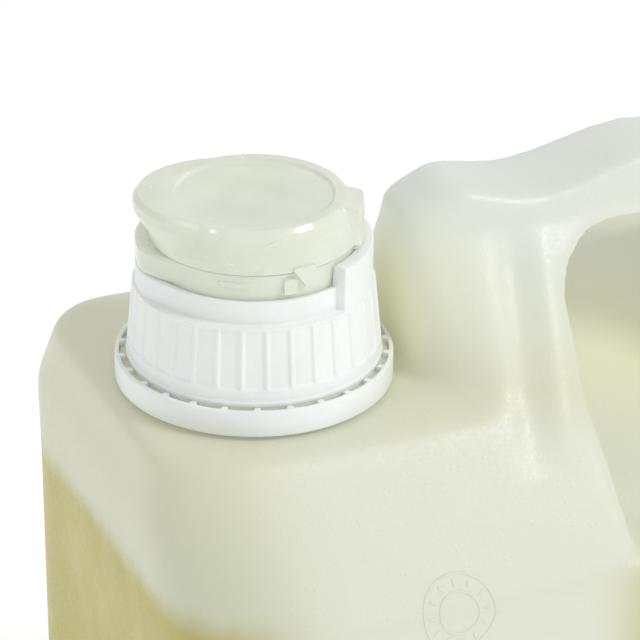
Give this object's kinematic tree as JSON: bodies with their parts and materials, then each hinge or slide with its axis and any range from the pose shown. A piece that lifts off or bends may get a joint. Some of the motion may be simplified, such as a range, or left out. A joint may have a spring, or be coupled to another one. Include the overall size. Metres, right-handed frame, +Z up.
{
  "type": "detergent dispenser bottle",
  "caption": "Translucent rectangular canister with a built-in top handle, yellow liquid, a ribbed screw collar with a tamper ring, a pouring insert and a flip-top lid.",
  "frame": {"origin": "middle of the base on the surface the bottle stands on", "axes": "+Z up, +X along the canister from the closure to the handle, +Y across it"},
  "size_m": [0.212, 0.139, 0.2763],
  "materials": {
    "natural_polyethylene": "translucent natural blow-moulded polyethylene, satin",
    "detergent": "clear pale yellow liquid",
    "white_polypropylene": "satin white injection-moulded polypropylene",
    "clear_polypropylene": "glossy translucent natural polypropylene",
    "foam_gasket": "matt white foamed sealing ring"
  },
  "bodies": {
    "bottle": {"canister": "natural_polyethylene", "detergent_fill": "detergent", "tamper_ring": "white_polypropylene"},
    "gasket": {"neck_gasket": "foam_gasket"},
    "closure": {"screw_collar": "white_polypropylene", "spout_insert": "clear_polypropylene"},
    "lid": {"flip_lid": "clear_polypropylene"}
  },
  "joints": [
    {"name": "collar_lift", "type": "slide", "parent": "bottle", "child": "gasket", "axis": [0, 0, 1], "range_m": [0, 0.006]},
    {"name": "collar_unscrew", "type": "hinge", "parent": "gasket", "child": "closure", "pos_m": [-0.064, 0, 0.234], "axis": [0, 0, 1], "range_deg": [0, 540]},
    {"name": "lid_hinge", "type": "hinge", "parent": "closure", "child": "lid", "pos_m": [-0.04016, -0.01268, 0.266], "axis": [0.4695, 0.8829, 0], "range_deg": [0, 120]}
  ],
  "couplings": [
    {"joint": "collar_lift", "follows": "collar_unscrew", "m_per_rad": 0.0006366}
  ]
}
